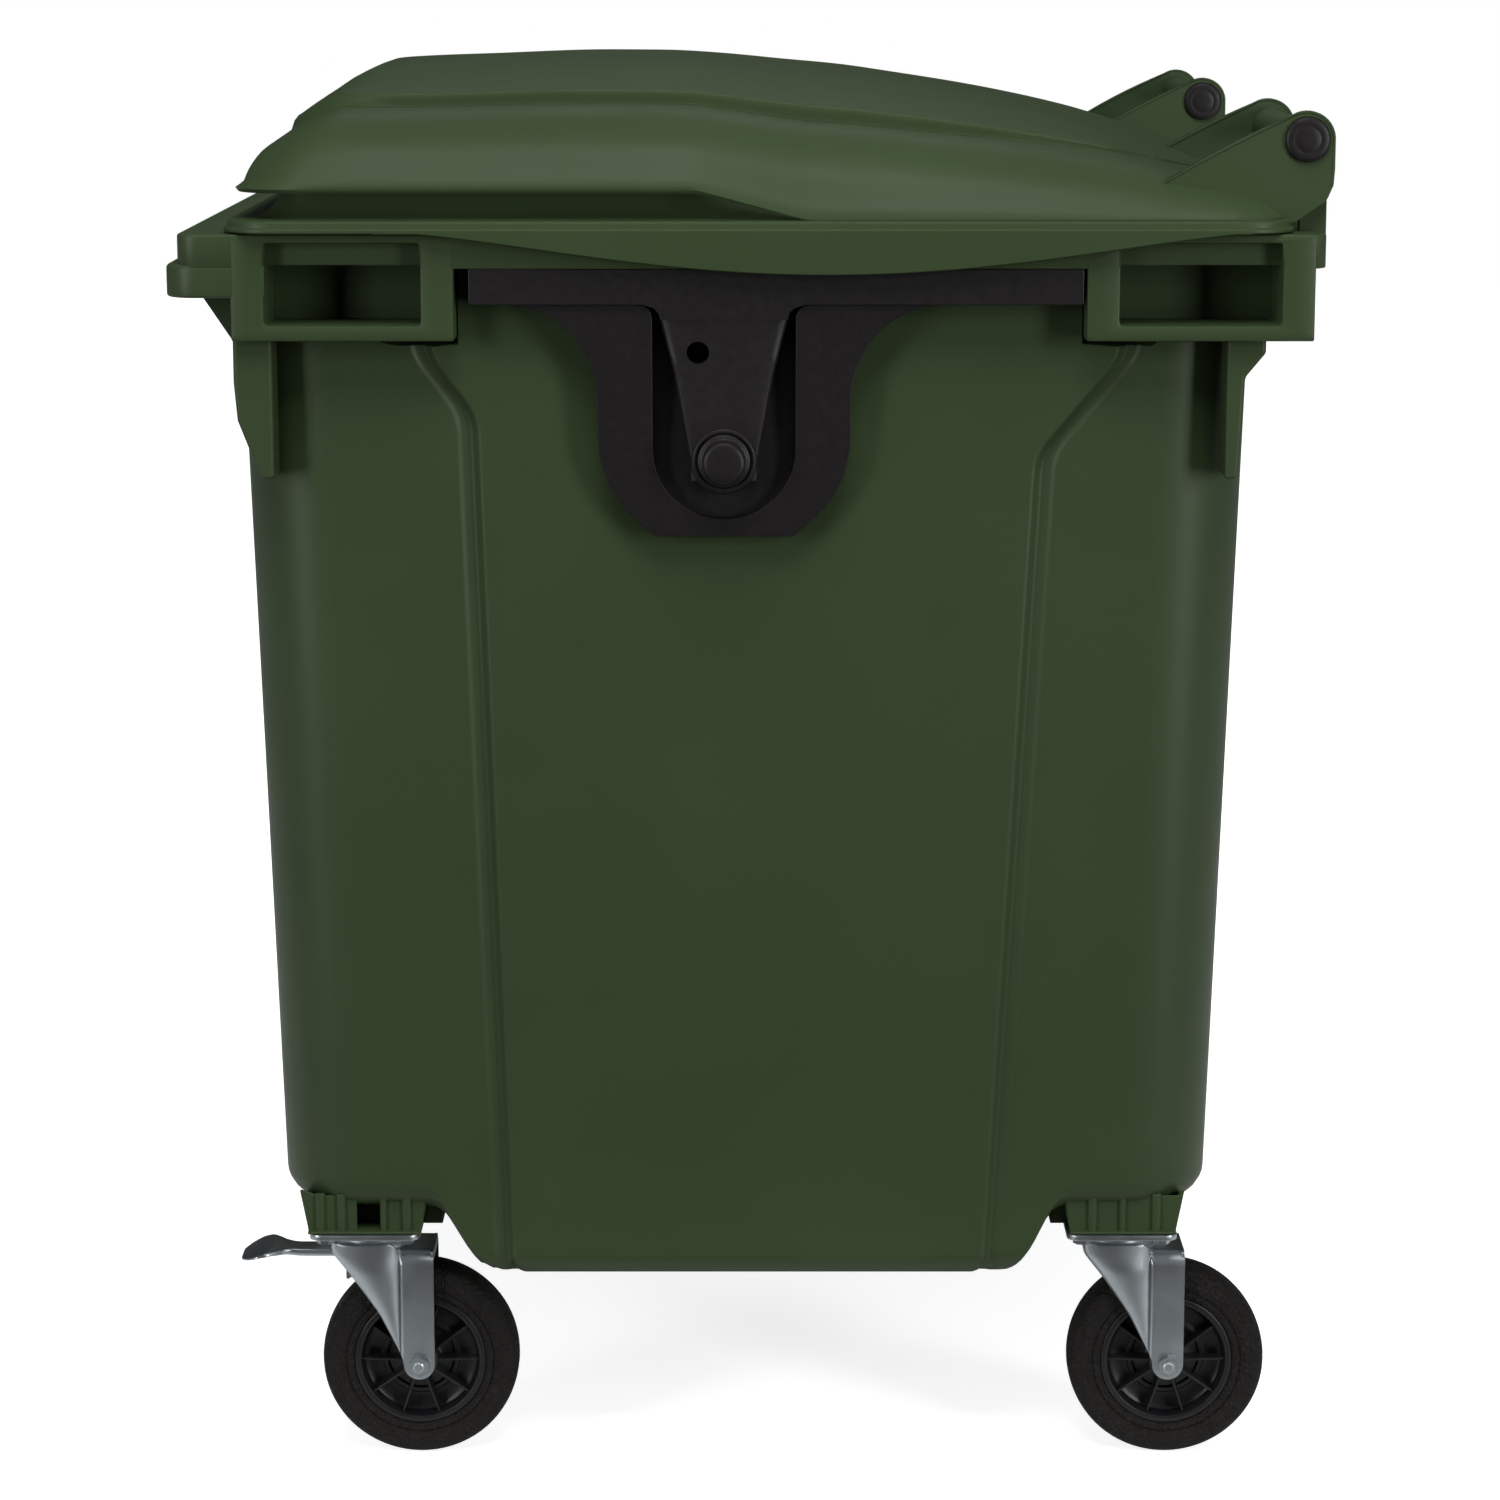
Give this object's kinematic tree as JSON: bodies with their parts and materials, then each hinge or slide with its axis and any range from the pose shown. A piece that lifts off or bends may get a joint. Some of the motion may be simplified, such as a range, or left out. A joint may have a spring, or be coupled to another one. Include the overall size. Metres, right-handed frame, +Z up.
{
  "type": "wheeled waste container",
  "caption": "Large rectangular plastic waste container with a domed hinged lid, black side lifting brackets and swivel casters, the front ones with brake pedals.",
  "frame": {"origin": "on the floor under the middle of the container", "axes": "+Z up, -Y to the front where the lid opens, +X along the hinge line"},
  "size_m": [1.37, 1.1, 1.3948],
  "materials": {
    "green_plastic": "satin moulded polyethylene with a fine grain",
    "black_plastic": "satin moulded nylon",
    "zinc_steel": "bright zinc plate on pressed steel",
    "tyre_rubber": "matt solid rubber"
  },
  "bodies": {
    "container": {"container_body": "green_plastic", "drain_plug": "black_plastic", "trunnion_bracket_left": "black_plastic", "trunnion_pin_left": "black_plastic", "trunnion_bracket_right": "black_plastic", "trunnion_pin_right": "black_plastic", "caster_plate_front_left": "zinc_steel", "kingpin_front_left": "zinc_steel", "mount_bolt_front_left_1": "zinc_steel", "mount_bolt_front_left_2": "zinc_steel", "mount_bolt_front_left_3": "zinc_steel", "mount_bolt_front_left_4": "zinc_steel", "caster_plate_front_right": "zinc_steel", "kingpin_front_right": "zinc_steel", "mount_bolt_front_right_1": "zinc_steel", "mount_bolt_front_right_2": "zinc_steel", "mount_bolt_front_right_3": "zinc_steel", "mount_bolt_front_right_4": "zinc_steel", "caster_plate_rear_left": "zinc_steel", "kingpin_rear_left": "zinc_steel", "mount_bolt_rear_left_1": "zinc_steel", "mount_bolt_rear_left_2": "zinc_steel", "mount_bolt_rear_left_3": "zinc_steel", "mount_bolt_rear_left_4": "zinc_steel", "caster_plate_rear_right": "zinc_steel", "kingpin_rear_right": "zinc_steel", "mount_bolt_rear_right_1": "zinc_steel", "mount_bolt_rear_right_2": "zinc_steel", "mount_bolt_rear_right_3": "zinc_steel", "mount_bolt_rear_right_4": "zinc_steel"},
    "lid": {"lid": "green_plastic", "hinge_pin_left": "zinc_steel", "hinge_cap_left_inner": "black_plastic", "hinge_cap_left_outer": "black_plastic", "hinge_pin_right": "zinc_steel", "hinge_cap_right_inner": "black_plastic", "hinge_cap_right_outer": "black_plastic"},
    "swivel_front_left": {"caster_fork_front_left": "zinc_steel", "axle_bolt_front_left": "zinc_steel", "axle_nut_front_left": "zinc_steel"},
    "wheel_front_left": {"wheel_hub_front_left": "black_plastic", "tyre_front_left": "tyre_rubber"},
    "pedal_front_left": {"brake_pedal_front_left": "zinc_steel"},
    "swivel_front_right": {"caster_fork_front_right": "zinc_steel", "axle_bolt_front_right": "zinc_steel", "axle_nut_front_right": "zinc_steel"},
    "wheel_front_right": {"wheel_hub_front_right": "black_plastic", "tyre_front_right": "tyre_rubber"},
    "pedal_front_right": {"brake_pedal_front_right": "zinc_steel"},
    "swivel_rear_left": {"caster_fork_rear_left": "zinc_steel", "axle_bolt_rear_left": "zinc_steel", "axle_nut_rear_left": "zinc_steel"},
    "wheel_rear_left": {"wheel_hub_rear_left": "black_plastic", "tyre_rear_left": "tyre_rubber"},
    "swivel_rear_right": {"caster_fork_rear_right": "zinc_steel", "axle_bolt_rear_right": "zinc_steel", "axle_nut_rear_right": "zinc_steel"},
    "wheel_rear_right": {"wheel_hub_rear_right": "black_plastic", "tyre_rear_right": "tyre_rubber"}
  },
  "joints": [
    {"name": "lid_hinge", "type": "hinge", "parent": "container", "child": "lid", "pos_m": [0, 0.5235, 1.327], "axis": [-1, 0, 0], "range_deg": [0, 260]},
    {"name": "swivel_front_left", "type": "hinge", "parent": "container", "child": "swivel_front_left", "pos_m": [-0.523, -0.384, 0.22], "axis": [0, 0, 1], "continuous": true},
    {"name": "wheel_front_left", "type": "hinge", "parent": "swivel_front_left", "child": "wheel_front_left", "pos_m": [-0.523, -0.3337, 0.09944], "axis": [1, 0, 0], "continuous": true},
    {"name": "pedal_front_left", "type": "hinge", "parent": "swivel_front_left", "child": "pedal_front_left", "pos_m": [-0.523, -0.348, 0.2102], "axis": [1, 0, 0], "range_deg": [0, 8]},
    {"name": "swivel_front_right", "type": "hinge", "parent": "container", "child": "swivel_front_right", "pos_m": [0.523, -0.384, 0.22], "axis": [0, 0, 1], "continuous": true},
    {"name": "wheel_front_right", "type": "hinge", "parent": "swivel_front_right", "child": "wheel_front_right", "pos_m": [0.523, -0.3337, 0.09944], "axis": [1, 0, 0], "continuous": true},
    {"name": "pedal_front_right", "type": "hinge", "parent": "swivel_front_right", "child": "pedal_front_right", "pos_m": [0.523, -0.348, 0.2102], "axis": [1, 0, 0], "range_deg": [0, 8]},
    {"name": "swivel_rear_left", "type": "hinge", "parent": "container", "child": "swivel_rear_left", "pos_m": [-0.523, 0.371, 0.22], "axis": [0, 0, 1], "continuous": true},
    {"name": "wheel_rear_left", "type": "hinge", "parent": "swivel_rear_left", "child": "wheel_rear_left", "pos_m": [-0.523, 0.4213, 0.09944], "axis": [1, 0, 0], "continuous": true},
    {"name": "swivel_rear_right", "type": "hinge", "parent": "container", "child": "swivel_rear_right", "pos_m": [0.523, 0.371, 0.22], "axis": [0, 0, 1], "continuous": true},
    {"name": "wheel_rear_right", "type": "hinge", "parent": "swivel_rear_right", "child": "wheel_rear_right", "pos_m": [0.523, 0.4213, 0.09944], "axis": [1, 0, 0], "continuous": true}
  ]
}
